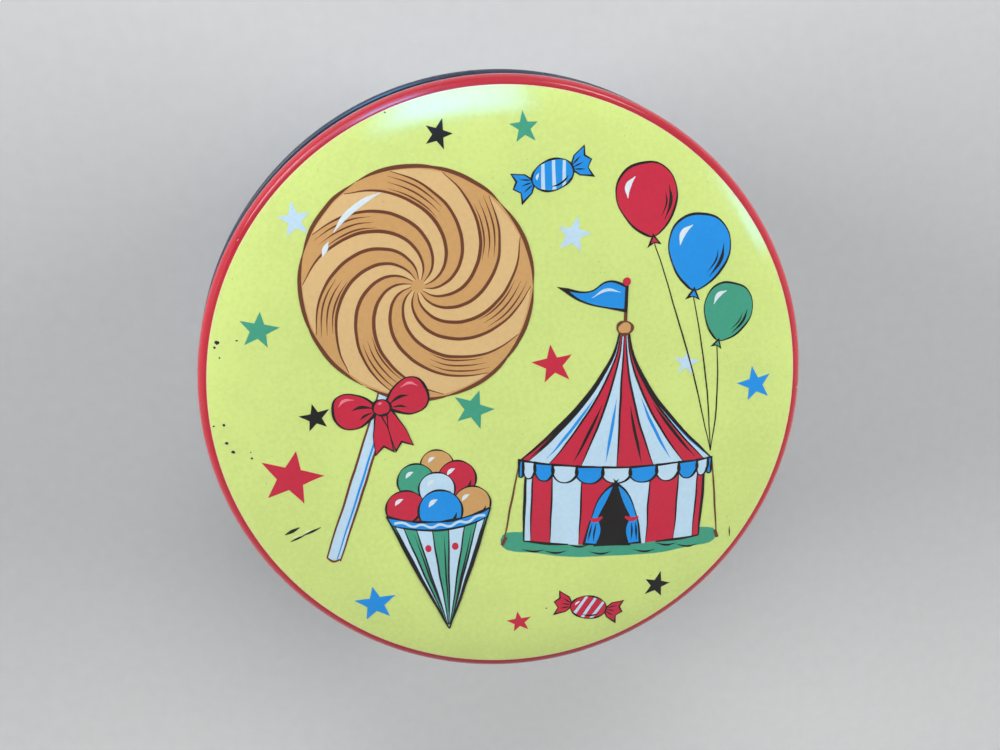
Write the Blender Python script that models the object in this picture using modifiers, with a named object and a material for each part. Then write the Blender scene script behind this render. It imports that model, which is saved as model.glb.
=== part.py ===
"""A round slip-lid tin of printed tinplate: a drawn lid, a rolled wall and a pressed base.

Each piece is one sheet of metal. Its printed or outer face is drawn as a half section, turned about
the tin's axis with a Screw modifier and given the sheet's thickness with a Solidify modifier.
The tin lies on its base, +Z up, with the origin at the middle of its underside. Metres throughout.
"""

import math

import bmesh
import bpy
from mathutils import Matrix

# The whole tin
TIN_RADIUS = 0.0760
TIN_HEIGHT = 0.0510
SHEET = 0.0003
SEGMENTS = 56
MERGE_DISTANCE = 0.00001

# The lid
SKIRT_RADIUS = 0.0730
SHOULDER_RADIUS = 0.0038
PANEL_EDGE_SLOPE = math.radians(14)
PANEL_CROWN = 0.0018
PANEL_EDGE_POWER = 8
PANEL_STEP_SHARES = (0, 0.36, 0.6, 0.76, 0.87, 0.94, 1)
HEM_DROP = 0.0117
HEM_RADIUS = 0.0013
HEM_BEND_RADIUS = 0.0004
HEM_FLARE = math.radians(75)
HEM_END = math.radians(-190)

# The wall
SKIRT_GAP = 0.0004
RIM_SEAT_GAP = 0.0003
RIM_RADIUS = 0.0010
RIM_START = math.radians(215)
SIDE_SEAM_WIDTH = 0.0045
SIDE_SEAM_EXTRA_LAYERS = 2
SIDE_SEAM_END_GAP = 0.0010

# The double seam that joins the wall and the base
SEAM_HEIGHT = 0.0032
SEAM_GAP = 0.00025
SEAM_LAYERS_OUTSIDE_WALL = 3
FOOT_CORNER_RADIUS = 0.0007

# The base
PANEL_RECESS = 0.0034
RECESS_CORNER_RADIUS = 0.0009
STEP_RADIUS = 0.0650
STEP_WIDTH = 0.0016
STEP_HEIGHT = 0.0009
RING_RADIUS = 0.0480
RING_HALF_WIDTH = 0.0018
RING_HEIGHT = 0.0008

# Lid, worked out
SHOULDER_CENTRE_RADIUS = SKIRT_RADIUS - SHOULDER_RADIUS
PANEL_RADIUS = SHOULDER_CENTRE_RADIUS + SHOULDER_RADIUS * math.sin(PANEL_EDGE_SLOPE)
PANEL_EDGE_DROP = (PANEL_RADIUS * math.tan(PANEL_EDGE_SLOPE) - 2 * PANEL_CROWN) / PANEL_EDGE_POWER
PANEL_EDGE_Z = TIN_HEIGHT - PANEL_CROWN - PANEL_EDGE_DROP
SHOULDER_Z = PANEL_EDGE_Z - SHOULDER_RADIUS * math.cos(PANEL_EDGE_SLOPE)
HEM_Z = SHOULDER_Z - HEM_DROP

# Wall and seam, worked out
WALL_RADIUS = SKIRT_RADIUS - SHEET - SKIRT_GAP
RIM_CENTRE_RADIUS = WALL_RADIUS - RIM_RADIUS
LAYER = SHEET + SEAM_GAP
HOOK_BEND_RADIUS = (SHEET + 2 * SEAM_GAP) / 2
HOOK_BEND_RADIUS_OUTSIDE = HOOK_BEND_RADIUS + SHEET
HOOK_CENTRE_RADIUS = WALL_RADIUS + HOOK_BEND_RADIUS
WALL_BEND_Z = LAYER + HOOK_BEND_RADIUS_OUTSIDE
SEAM_BEND_Z = SEAM_HEIGHT - HOOK_BEND_RADIUS_OUTSIDE
SEAM_RADIUS = WALL_RADIUS + SEAM_LAYERS_OUTSIDE_WALL * LAYER
SEAM_BEND_CENTRE_RADIUS = SEAM_RADIUS - HOOK_BEND_RADIUS_OUTSIDE
RECESS_RADIUS = WALL_RADIUS - SHEET - LAYER


def arc(centre_radius, centre_z, radius, start, end, steps):
    """Points (radius, z) round a centre, from one angle to another, where 0 points away from the axis."""
    points = []
    for step in range(steps + 1):
        angle = start + (end - start) * step / steps
        r = centre_radius + radius * math.cos(angle)
        z = centre_z + radius * math.sin(angle)
        points.append((r, z))
    return points


def lid_section():
    """The lid's printed face: domed panel, shoulder, skirt, and a hem rolled under with its print outside."""
    points = []
    for share in PANEL_STEP_SHARES[:-1]:
        drop = PANEL_CROWN * share**2 + PANEL_EDGE_DROP * share**PANEL_EDGE_POWER
        points.append((PANEL_RADIUS * share, TIN_HEIGHT - drop))
    shoulder_start = math.pi / 2 - PANEL_EDGE_SLOPE
    points += arc(SHOULDER_CENTRE_RADIUS, SHOULDER_Z, SHOULDER_RADIUS, shoulder_start, 0, 5)

    # The skirt turns out to a flare that runs straight on to the hem's round.
    bend_r = SKIRT_RADIUS + HEM_BEND_RADIUS
    flare_start_r = bend_r - HEM_BEND_RADIUS * math.cos(HEM_FLARE)
    hem_centre_r = TIN_RADIUS - HEM_RADIUS
    flare_end_r = hem_centre_r + HEM_RADIUS * math.cos(HEM_FLARE)
    flare_end_z = HEM_Z + HEM_RADIUS * math.sin(HEM_FLARE)
    flare_start_z = flare_end_z + (flare_end_r - flare_start_r) / math.tan(HEM_FLARE)
    bend_z = flare_start_z + HEM_BEND_RADIUS * math.sin(HEM_FLARE)
    points += arc(bend_r, bend_z, HEM_BEND_RADIUS, math.pi, math.pi + HEM_FLARE, 2)
    points += arc(hem_centre_r, HEM_Z, HEM_RADIUS, HEM_FLARE, 0, 3)
    points += arc(hem_centre_r, HEM_Z, HEM_RADIUS, 0, HEM_END, 7)[1:]
    return points


def rim_z():
    """Height of the rim's centre, where its round lies RIM_SEAT_GAP under the inside of the lid's shoulder."""
    offset = RIM_CENTRE_RADIUS - SHOULDER_CENTRE_RADIUS
    reach = SHOULDER_RADIUS - SHEET - RIM_SEAT_GAP - RIM_RADIUS
    return SHOULDER_Z + math.sqrt(max(reach**2 - offset**2, 0))


def wall_section():
    """The wall's outer face: the rim rolled inwards, the straight wall, and the flange hooked out and up."""
    points = arc(RIM_CENTRE_RADIUS, rim_z(), RIM_RADIUS, RIM_START, 0, 7)
    points += arc(HOOK_CENTRE_RADIUS, WALL_BEND_Z, HOOK_BEND_RADIUS, math.pi, 2 * math.pi, 4)
    points.append((HOOK_CENTRE_RADIUS + HOOK_BEND_RADIUS, SEAM_BEND_Z))
    return points


def base_section():
    """The base's outer face, from the tip of the seam's hook, round the foot and up to the recessed panel."""
    quarter = math.pi / 2
    hook_r = SEAM_BEND_CENTRE_RADIUS - HOOK_BEND_RADIUS_OUTSIDE
    points = [(hook_r, WALL_BEND_Z)]
    points += arc(SEAM_BEND_CENTRE_RADIUS, SEAM_BEND_Z, HOOK_BEND_RADIUS_OUTSIDE, math.pi, 0, 4)

    foot_outer_r = SEAM_RADIUS - FOOT_CORNER_RADIUS
    foot_inner_r = RECESS_RADIUS + FOOT_CORNER_RADIUS
    points += arc(foot_outer_r, FOOT_CORNER_RADIUS, FOOT_CORNER_RADIUS, 0, -quarter, 3)
    points += arc(foot_inner_r, FOOT_CORNER_RADIUS, FOOT_CORNER_RADIUS, -quarter, -math.pi, 3)

    corner_r = RECESS_RADIUS - RECESS_CORNER_RADIUS
    corner_z = PANEL_RECESS - RECESS_CORNER_RADIUS
    points += arc(corner_r, corner_z, RECESS_CORNER_RADIUS, 0, quarter, 3)

    panel_z = PANEL_RECESS - STEP_HEIGHT
    points.append((STEP_RADIUS, PANEL_RECESS))
    points.append((STEP_RADIUS - STEP_WIDTH, panel_z))
    points.append((RING_RADIUS + RING_HALF_WIDTH, panel_z))
    points.append((RING_RADIUS + RING_HALF_WIDTH / 2, panel_z + RING_HEIGHT))
    points.append((RING_RADIUS - RING_HALF_WIDTH / 2, panel_z + RING_HEIGHT))
    points.append((RING_RADIUS - RING_HALF_WIDTH, panel_z))
    points.append((0, panel_z))
    return points


def new_material(name, colour, roughness, metallic):
    material = bpy.data.materials.new(name)
    material.use_nodes = True
    material.diffuse_color = colour
    shader = material.node_tree.nodes["Principled BSDF"]
    shader.inputs["Base Color"].default_value = colour
    shader.inputs["Roughness"].default_value = roughness
    shader.inputs["Metallic"].default_value = metallic
    return material


def new_collection(name):
    collection = bpy.data.collections.new(name)
    bpy.context.scene.collection.children.link(collection)
    return collection


def turned_sheet(name, section, origin_z, material, collection):
    """A sheet turned about the tin's axis from its outer face's section, with its origin on that axis."""
    mesh = bpy.data.meshes.new(name)
    vertices = [(r, 0, z - origin_z) for r, z in section]
    edges = [(i, i + 1) for i in range(len(section) - 1)]
    mesh.from_pydata(vertices, edges, [])
    mesh.materials.append(material)
    sheet = bpy.data.objects.new(name, mesh)
    sheet.location.z = origin_z
    collection.objects.link(sheet)

    turn = sheet.modifiers.new("turn", "SCREW")
    turn.axis = "Z"
    turn.steps = SEGMENTS
    turn.render_steps = SEGMENTS
    turn.use_smooth_shade = True
    turn.use_merge_vertices = True
    turn.merge_threshold = MERGE_DISTANCE

    thickness = sheet.modifiers.new("sheet", "SOLIDIFY")
    thickness.thickness = SHEET
    thickness.offset = -1
    thickness.use_even_offset = True
    return sheet


def add_side_seam(wall, helpers):
    """The locked side seam: the folded edges lie as a strip inside the wall, on the flat next to -Y."""
    half_facet = math.pi / SEGMENTS
    inner_face = WALL_RADIUS * math.cos(half_facet) - SHEET
    fold = SIDE_SEAM_EXTRA_LAYERS * SHEET
    depth = fold + SHEET / 2
    low = PANEL_RECESS + SHEET + SIDE_SEAM_END_GAP
    high = rim_z() - RIM_RADIUS - SIDE_SEAM_END_GAP

    strip = bmesh.new()
    bmesh.ops.create_cube(strip, size=1, matrix=Matrix.Diagonal((depth, SIDE_SEAM_WIDTH, high - low, 1)))
    mesh = bpy.data.meshes.new("side_seam_strip")
    strip.to_mesh(mesh)
    strip.free()
    guide = bpy.data.objects.new("side_seam_strip", mesh)
    turn = Matrix.Rotation(-math.pi / 2 + half_facet, 4, "Z")
    place = Matrix.Translation((inner_face - fold + depth / 2, 0, (low + high) / 2))
    guide.matrix_world = turn @ place
    guide.hide_render = True
    guide.display_type = "WIRE"
    helpers.objects.link(guide)

    joined = wall.modifiers.new("side_seam", "BOOLEAN")
    joined.operation = "UNION"
    joined.solver = "EXACT"
    joined.object = guide


def main():
    for old in list(bpy.data.objects):
        bpy.data.objects.remove(old, do_unlink=True)
    tin = new_collection("sweet_tin")
    helpers = new_collection("sweet_tin_helpers")

    yellow = new_material("yellow_print", (0.68, 0.82, 0.27, 1), 0.25, 0)
    navy = new_material("navy_lacquer", (0.02, 0.035, 0.07, 1), 0.3, 0)
    tinplate = new_material("tinplate", (0.62, 0.61, 0.58, 1), 0.35, 1)

    turned_sheet("lid", lid_section(), SHOULDER_Z, yellow, tin)
    wall = turned_sheet("body_wall", wall_section(), 0, navy, tin)
    turned_sheet("base_end", base_section(), 0, tinplate, tin)
    add_side_seam(wall, helpers)


main()
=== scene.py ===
"""The looks of a round slip-lid sweet tin: a printed lid, a dark blue wall and a bare tinplate base.

The tin's own sizes are in metres. The lid's picture is drawn in millimetres from the middle of the lid,
with +Y towards the top of the picture, and is then laid over the dome.
"""

import math
import random

import bmesh
import bpy
from mathutils import Matrix, Vector, noise


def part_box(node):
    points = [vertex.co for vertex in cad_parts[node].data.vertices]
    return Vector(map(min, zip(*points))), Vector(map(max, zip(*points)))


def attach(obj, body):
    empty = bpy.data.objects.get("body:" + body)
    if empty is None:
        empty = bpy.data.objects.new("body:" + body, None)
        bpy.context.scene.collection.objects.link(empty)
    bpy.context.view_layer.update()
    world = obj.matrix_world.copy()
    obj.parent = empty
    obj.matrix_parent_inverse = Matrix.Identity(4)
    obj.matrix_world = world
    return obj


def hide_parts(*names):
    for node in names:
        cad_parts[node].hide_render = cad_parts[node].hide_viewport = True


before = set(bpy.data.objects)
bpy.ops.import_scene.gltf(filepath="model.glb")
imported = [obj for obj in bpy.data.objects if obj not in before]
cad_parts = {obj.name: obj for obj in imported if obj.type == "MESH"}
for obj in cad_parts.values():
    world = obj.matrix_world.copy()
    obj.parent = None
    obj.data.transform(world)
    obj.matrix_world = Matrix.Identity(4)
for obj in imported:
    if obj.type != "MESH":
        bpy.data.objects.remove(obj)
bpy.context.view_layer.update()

# Sizes of the sheet metal, the overall ones from the frame
TIN_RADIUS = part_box("lid")[1][0]
TIN_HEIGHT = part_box("lid")[1][2]
SHEET = 0.0003
TURN_STEPS = 256
MERGE_DISTANCE = 0.000005
SLOPE_STEP = 0.00001
CREASE_ANGLE = math.radians(38)

SKIRT_RADIUS = 0.0730
SHOULDER_RADIUS = 0.0038
PANEL_EDGE_SLOPE = math.radians(14)
PANEL_CROWN = 0.0018
PANEL_EDGE_POWER = 8
PANEL_STEPS = 40
HEM_DROP = 0.0117
HEM_RADIUS = 0.0013
HEM_BEND_RADIUS = 0.0004
HEM_FLARE = math.radians(75)
HEM_END = math.radians(-190)

SKIRT_GAP = 0.0004
RIM_SEAT_GAP = 0.0003
RIM_RADIUS = 0.0010
RIM_START = math.radians(215)
SIDE_SEAM_WIDTH = 0.0045
SIDE_SEAM_DEPTH = 0.0006
SIDE_SEAM_END_GAP = 0.0010
SIDE_SEAM_ANGLE = math.radians(-90 + 360 / 56 / 2)

SEAM_HEIGHT = 0.0032
SEAM_GAP = 0.00025
SEAM_LAYERS_OUTSIDE_WALL = 3
FOOT_CORNER_RADIUS = 0.0007

PANEL_RECESS = 0.0034
RECESS_CORNER_RADIUS = 0.0009
STEP_RADIUS = 0.0650
STEP_WIDTH = 0.0016
STEP_HEIGHT = 0.0009
RING_RADIUS = 0.0480
RING_HALF_WIDTH = 0.0018
RING_HEIGHT = 0.0008
BEAD_BEND_RADIUS = 0.0006
BEAD_STEPS = 8

# Sizes worked out from them
SHOULDER_CENTRE_RADIUS = SKIRT_RADIUS - SHOULDER_RADIUS
PANEL_RADIUS = SHOULDER_CENTRE_RADIUS + SHOULDER_RADIUS * math.sin(PANEL_EDGE_SLOPE)
PANEL_EDGE_DROP = (PANEL_RADIUS * math.tan(PANEL_EDGE_SLOPE) - 2 * PANEL_CROWN) / PANEL_EDGE_POWER
PANEL_EDGE_Z = TIN_HEIGHT - PANEL_CROWN - PANEL_EDGE_DROP
SHOULDER_Z = PANEL_EDGE_Z - SHOULDER_RADIUS * math.cos(PANEL_EDGE_SLOPE)
HEM_Z = SHOULDER_Z - HEM_DROP
WALL_RADIUS = SKIRT_RADIUS - SHEET - SKIRT_GAP
RIM_CENTRE_RADIUS = WALL_RADIUS - RIM_RADIUS
RIM_REACH = SHOULDER_RADIUS - SHEET - RIM_SEAT_GAP - RIM_RADIUS
RIM_Z = SHOULDER_Z + math.sqrt(RIM_REACH**2 - (RIM_CENTRE_RADIUS - SHOULDER_CENTRE_RADIUS) ** 2)
LAYER = SHEET + SEAM_GAP
HOOK_BEND_RADIUS = (SHEET + 2 * SEAM_GAP) / 2
HOOK_BEND_RADIUS_OUTSIDE = HOOK_BEND_RADIUS + SHEET
HOOK_CENTRE_RADIUS = WALL_RADIUS + HOOK_BEND_RADIUS
WALL_BEND_Z = LAYER + HOOK_BEND_RADIUS_OUTSIDE
SEAM_BEND_Z = SEAM_HEIGHT - HOOK_BEND_RADIUS_OUTSIDE
SEAM_RADIUS = WALL_RADIUS + SEAM_LAYERS_OUTSIDE_WALL * LAYER
SEAM_BEND_CENTRE_RADIUS = SEAM_RADIUS - HOOK_BEND_RADIUS_OUTSIDE
RECESS_RADIUS = WALL_RADIUS - SHEET - LAYER
NICKS_LOW = SHOULDER_Z + 0.12 * SHOULDER_RADIUS
NICKS_HIGH = SHOULDER_Z + 0.95 * SHOULDER_RADIUS
HEM_FOLD_RADIUS = TIN_RADIUS - 0.00095

# Where the lid's colours meet
CREAM_LINE_WIDTH = 0.00022
RED_ENDS_ANGLE = math.radians(8)

# Camera and light
CAMERA_PLACE = Vector((-0.0206, 0.0415, 0.2207))
CAMERA_VIEW = Vector((0.1008, -0.2055, -0.9735))
CAMERA_UP = Vector((0, 0.9784, -0.2066))
CAMERA_LENS = 27.04
CAMERA_SENSOR = 36
LIGHT_DISTANCE = 3.0
SOFTBOX_FADE = 0.16
GLEAM_FADE = 0.32
ROOM_LIGHT = 0.12
BACKDROP_LIGHT = 0.5
FLOOR_RADIUS = 4.0
FLOOR_FADES = (0.16, 0.6)
NEAREST_SEEN = 0.01

# The picture on the lid, in millimetres
MM = 0.001
INK_HEIGHT = 0.022
LEVEL_STEP = 0.005
WEAR_LEVEL = 2
CHIP_EDGE_SHARE = 1.13
CHIP_EDGE_SHIFT = (0.04, -0.03)
DRAPE_GRID = 2.5
FLAT_MERGE = 0.001
CUT_MERGE = 0.0005
WOBBLE = 0.16
WOBBLE_LENGTH = 5.0
WOBBLE_SEED = 5


def srgb(red, green, blue):
    """A display colour of 0 to 255 a channel, as the linear colour that a shader takes."""
    linear = []
    for value in (red, green, blue):
        share = value / 255
        linear.append(share / 12.92 if share <= 0.04045 else ((share + 0.055) / 1.055) ** 2.4)
    return (*linear, 1)


def shade(colour, factor):
    """A colour made lighter or darker by a factor."""
    return (*(min(channel * factor, 1) for channel in colour[:3]), 1)


YELLOW = srgb(216, 237, 138)
CREAM = srgb(226, 224, 172)
EDGE_RED = srgb(177, 31, 48)
NAVY = srgb(43, 52, 71)
TIN = srgb(196, 194, 186)
STEEL = srgb(92, 88, 84)
# Colour of the painted shade in the fold above the hem
CREASE_SHADE_COLOUR = srgb(26, 25, 28)
RUST = srgb(104, 66, 40)
CHIP_STEEL = srgb(40, 32, 27)
# Pale colour of the chips' broken edges, also used for painted glints of bare metal beside the scratches
CHIP_EDGE_AND_GLINT_PALE = srgb(232, 240, 198)
WINDOW_BLUE = (0.12, 0.50, 1.0, 1)
PALE_SKY = (0.66, 0.77, 1.0, 1)
SOFT_WHITE = (1.0, 1.0, 1.0, 1)
BACKDROP_WHITE = (0.97, 0.985, 1.0, 1)
FLOOR_GREYS = ((0.64, 0.64, 0.64, 1), (0.70, 0.70, 0.70, 1))
BLACK = (0, 0, 0, 1)
# Each ink's colour, and how far its plate slipped over the others, in millimetres
INKS = {
    "pale": (srgb(198, 229, 250), (0.07, -0.05)),
    "tan": (srgb(214, 165, 104), (0, 0)),
    "light_tan": (srgb(229, 192, 134), (-0.05, 0.04)),
    "green": (srgb(66, 164, 134), (-0.10, -0.06)),
    "blue": (srgb(22, 150, 238), (0.10, 0.07)),
    "red": (srgb(206, 36, 66), (-0.08, 0.09)),
    "pink": (srgb(238, 134, 150), (-0.08, 0.09)),
    "brown": (srgb(112, 60, 34), (0.04, 0.02)),
    "black": (srgb(20, 15, 14), (0, 0)),
    "gleam": (srgb(226, 240, 248), (0.07, -0.05)),
}


class Channel:
    """An output socket, as a value in sums. Each operator adds its Math node."""

    def __init__(self, nodes, socket):
        self.nodes = nodes
        self.socket = socket

    def math(self, operation, first, second):
        return self.nodes.node("ShaderNodeMath", {"operation": operation}, {0: first, 1: second})

    def __add__(self, other):
        return self.math("ADD", self, other)

    def __radd__(self, other):
        return self.math("ADD", other, self)

    def __sub__(self, other):
        return self.math("SUBTRACT", self, other)

    def __rsub__(self, other):
        return self.math("SUBTRACT", other, self)

    def __mul__(self, other):
        return self.math("MULTIPLY", self, other)

    def __rmul__(self, other):
        return self.math("MULTIPLY", other, self)

    def between(self, low, high):
        """0 up to low, 1 from high, and smooth between. A low above high runs the other way."""
        settings = {"interpolation_type": "SMOOTHSTEP"}
        return self.nodes.node("ShaderNodeMapRange", settings, {0: self, 1: low, 2: high})


class Nodes:
    """The node tree of a material or a world."""

    def __init__(self, tree):
        self.tree = tree

    def node(self, kind, settings=None, inputs=None, output=0):
        """A node of a kind, with its settings and the values or links of its sockets."""
        node = self.tree.nodes.new(kind)
        for name, value in (settings or {}).items():
            setattr(node, name, value)
        for socket, value in (inputs or {}).items():
            self.feed(node.inputs[socket], value)
        return Channel(self, node.outputs[output])

    def feed(self, socket, value):
        if isinstance(value, Channel):
            self.tree.links.new(value.socket, socket)
        else:
            socket.default_value = value

    def shows_backdrop(self):
        """1 for the rays that show the backdrop: the camera's, and those off gloss and through glass."""
        kinds = ("Is Camera Ray", "Is Glossy Ray", "Is Transmission Ray")
        camera, glossy, through = [self.node("ShaderNodeLightPath", output=kind) for kind in kinds]
        return camera + glossy + through


class Finish(Nodes):
    """A material under construction, with the patterns that its maker can call on."""

    def __init__(self, name, **constants):
        self.material = bpy.data.materials.new(name)
        self.material.use_nodes = True
        super().__init__(self.material.node_tree)
        self.shader = self.tree.nodes["Principled BSDF"]
        self.set(**constants)
        self.place = self.node("ShaderNodeTexCoord", output="Object")

    def set(self, **values):
        """Feeds the shader's own sockets."""
        for name, value in values.items():
            self.feed(self.shader.inputs[name.replace("_", " ")], value)

    def math_of(self, operation, value):
        return self.node("ShaderNodeMath", {"operation": operation}, {0: value})

    def mix(self, factor, first, second):
        """The first colour at 0 and the second at 1."""
        return self.node("ShaderNodeMix", {"data_type": "RGBA"}, {0: factor, 6: first, 7: second}, 2)

    def noise(self, size, detail=2, roughness=0.5):
        """Soft noise whose features are about size metres across."""
        inputs = {"Vector": self.place, "Scale": 1 / size, "Detail": detail, "Roughness": roughness}
        return self.node("ShaderNodeTexNoise", None, inputs)

    def stretched(self, size, turn=0, detail=2):
        """Noise drawn out into streaks, their size in metres each way before a turn about Z in degrees."""
        settings = {"vector_type": "TEXTURE"}
        inputs = {"Vector": self.place, "Rotation": (0, 0, math.radians(turn)), "Scale": size}
        streaks = self.node("ShaderNodeMapping", settings, inputs)
        return self.node("ShaderNodeTexNoise", None, {"Vector": streaks, "Scale": 1, "Detail": detail})

    def axis(self, name):
        """One coordinate of the place on the object, in metres."""
        return self.node("ShaderNodeSeparateXYZ", None, {0: self.place}, "XYZ".index(name))

    def along(self, direction):
        """The distance from the middle of the tin in one direction, in metres."""
        settings = {"operation": "DOT_PRODUCT"}
        return self.node("ShaderNodeVectorMath", settings, {0: self.place, 1: direction}, "Value")

    def radius(self):
        """The distance from the tin's axis, in metres."""
        flat = self.node("ShaderNodeVectorMath", {"operation": "MULTIPLY"}, {0: self.place, 1: (1, 1, 0)})
        return self.node("ShaderNodeVectorMath", {"operation": "LENGTH"}, {0: flat}, "Value")

    def bump(self, height, distance, strength=1.0, normal=None):
        inputs = {"Height": height, "Distance": distance, "Strength": strength}
        if normal:
            inputs["Normal"] = normal
        return self.node("ShaderNodeBump", None, inputs)


def hair_scratches(finish):
    """Fine scratches in three directions, as a mask."""
    first = finish.stretched((0.020, 0.00016, 0.00016), 18).between(0.70, 0.76)
    second = finish.stretched((0.015, 0.00013, 0.00013), -52).between(0.71, 0.77)
    third = finish.stretched((0.012, 0.00012, 0.00012), 96).between(0.72, 0.78)
    return first + second + third


def varnished(name, colour, roughness=0.10, worn=None, crease_shade=None):
    """Ink or enamel under gloss varnish: an uneven tone, fine specks, hair scratches and soft waves.

    Where it is worn, dark steel shows, and where it is given painted shade, it is dark and dull.
    """
    finish = Finish(name, IOR=1.46, Coat_Roughness=0.6 * roughness, Coat_IOR=1.5)
    clouds = finish.noise(0.018, 2)
    mottle = finish.noise(0.0011, 3, 0.6)
    tone = (clouds * 0.45 + mottle * 0.55).between(0.34, 0.66)
    paint = finish.mix(tone, shade(colour, 0.955), shade(colour, 1.035))
    gather = finish.noise(0.011, 1).between(0.46, 0.62)
    specks = finish.noise(0.00062, 1).between(0.735, 0.765) * gather
    paint = finish.mix(specks * 0.5, paint, shade(colour, 0.42))
    scratches = hair_scratches(finish)
    paint = finish.mix(scratches * 0.16, paint, shade(colour, 1.25))
    smears = finish.noise(0.022, 3, 0.6).between(0.42, 0.66)
    waves = finish.noise(0.009, 1)
    peel = finish.noise(0.0010, 1)
    skin = finish.bump(waves, 0.00006)
    skin = finish.bump(peel, 0.000004, normal=skin)
    dullness = roughness + smears * 0.07 + scratches * 0.12 + specks * 0.2
    gloss = 0.36 - smears * 0.2
    if worn:
        bare = worn(finish)
        paint = finish.mix(bare, paint, STEEL)
        dullness = dullness + bare * 0.25
        gloss = gloss * (1 - bare)
        skin = finish.bump(1 - bare, 0.00003, normal=skin)
        finish.set(Metallic=bare * 0.7)
    # Painted shade: darker, duller and without gloss where the mask says
    if crease_shade:
        painted_shade = crease_shade(finish)
        paint = finish.mix(painted_shade, paint, CREASE_SHADE_COLOUR)
        dullness = dullness + painted_shade * 0.5
        gloss = gloss * (1 - painted_shade)
    finish.set(Base_Color=paint, Roughness=dullness, Coat_Weight=gloss, Normal=skin)
    return finish


def edge_nicks(finish):
    """Small nicks where the lid's edge bends down, gathered in a few places round it."""
    height = finish.axis("Z")
    bend = height.between(NICKS_LOW, NICKS_LOW + 0.0008) * height.between(NICKS_HIGH, NICKS_HIGH - 0.0008)
    nicks = finish.noise(0.0013, 3, 0.65).between(0.655, 0.69)
    return nicks * finish.noise(0.021, 1).between(0.5, 0.6) * bend


def scattered_nicks(finish):
    """Fine nicks in loose groups."""
    nicks = finish.noise(0.0012, 3, 0.65).between(0.69, 0.72)
    return nicks * finish.noise(0.017, 1).between(0.52, 0.64)


def hem_wear(finish):
    """The hem rubbed through along its outermost line, and nicks on the skirt above it."""
    outermost = finish.radius().between(TIN_RADIUS - 0.0006, TIN_RADIUS - 0.00015)
    rubbed = finish.noise(0.006, 4, 0.7).between(0.52, 0.6)
    return outermost * rubbed + scattered_nicks(finish)


def hem_fold_shade(finish):
    """Painted shade, dark and dull, in the fold where the skirt bends out to the hem."""
    height = finish.axis("Z")
    inside = finish.radius().between(HEM_FOLD_RADIUS + 0.0001, HEM_FOLD_RADIUS - 0.0001)
    fold = height.between(HEM_Z, HEM_Z + 0.0005) * height.between(HEM_Z + 0.0036, HEM_Z + 0.0020)
    return inside * fold * finish.noise(0.004, 3).between(0.2, 0.5)


def wall_wear(finish):
    """Where the lid has slid up and down the wall, on the rim, above the foot and down the seam's fold."""
    height = finish.axis("Z")
    covered = height.between(HEM_Z, HEM_Z + 0.002)
    streaks = finish.stretched((0.0004, 0.0004, 0.012), 0, 3).between(0.62, 0.68)
    slid = streaks * finish.noise(0.014, 1).between(0.45, 0.6)
    rim = height.between(RIM_Z + 0.4 * RIM_RADIUS, RIM_Z + RIM_RADIUS)
    rubbed_rim = rim * finish.noise(0.005, 4, 0.7).between(0.5, 0.58)
    foot = height.between(SEAM_HEIGHT + 0.0018, SEAM_HEIGHT)
    rubbed_foot = foot * finish.noise(0.0021, 4, 0.7).between(0.56, 0.62)
    rubbed_fold = seam_fold(finish) * finish.noise(0.003, 4, 0.7).between(0.4, 0.55)
    return covered * slid * 0.8 + rubbed_rim + rubbed_foot + scattered_nicks(finish) + rubbed_fold


def seam_fold(finish):
    """A fine line down the wall's outside, where the sheet folds in to the side seam."""
    out = Vector((math.cos(SIDE_SEAM_ANGLE), math.sin(SIDE_SEAM_ANGLE), 0))
    sideways = Vector((-out.y, out.x, 0))
    off = finish.math_of("ABSOLUTE", finish.along(sideways) - SIDE_SEAM_WIDTH / 2)
    return off.between(0.00032, 0.0001) * finish.along(out).between(0, WALL_RADIUS / 2)


def panel_yellow():
    return varnished("panel_yellow", YELLOW)


def cream_line():
    return varnished("cream_line", CREAM)


def edge_red():
    return varnished("edge_red", EDGE_RED, 0.12, edge_nicks)


def skirt_navy():
    # The fold above the hem gets painted shade
    return varnished("skirt_navy", NAVY, 0.25, hem_wear, hem_fold_shade)


def wall_navy():
    """The wall's lacquer, with the crease of the side seam pressed into it."""
    finish = varnished("wall_navy", NAVY, 0.25, wall_wear)
    skin = finish.shader.inputs["Normal"].links[0].from_socket
    finish.set(Normal=finish.bump(1 - seam_fold(finish), 0.00012, normal=Channel(finish, skin)))
    return finish


def tinplate(name, dull=0.3):
    """Bare tinplate with its rolling grain, dull clouds, scuffs and the first rust."""
    finish = Finish(name, Metallic=1.0)
    grain = finish.stretched((0.012, 0.00009, 0.00009), 0, 3)
    clouds = finish.noise(0.02, 3, 0.6)
    spots = finish.noise(0.0016, 2, 0.6)
    rust = finish.noise(0.0011, 3, 0.7).between(0.69, 0.74) * finish.noise(0.017, 1).between(0.5, 0.68)
    metal = finish.mix(clouds.between(0.35, 0.7), TIN, shade(TIN, 0.72))
    metal = finish.mix(spots.between(0.6, 0.75) * 0.4, metal, shade(TIN, 0.5))
    metal = finish.mix(rust, metal, RUST)
    scratches = hair_scratches(finish)
    finish.set(
        Base_Color=metal,
        Metallic=1 - rust * 0.9,
        Roughness=dull + clouds * 0.16 + grain * 0.1 + rust * 0.4 - scratches * 0.1,
        Normal=finish.bump(grain, 0.000006, 0.6),
    )
    return finish


def worn_steel(name, colour):
    """Dark bare steel in the bottom of a chip."""
    finish = Finish(name, Metallic=0.3)
    crumbs = finish.noise(0.0003, 3, 0.7)
    finish.set(
        Base_Color=finish.mix(crumbs.between(0.4, 0.65), colour, shade(colour, 2.2)),
        Roughness=0.55 + crumbs * 0.3,
        Normal=finish.bump(crumbs, 0.00003),
    )
    return finish


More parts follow.
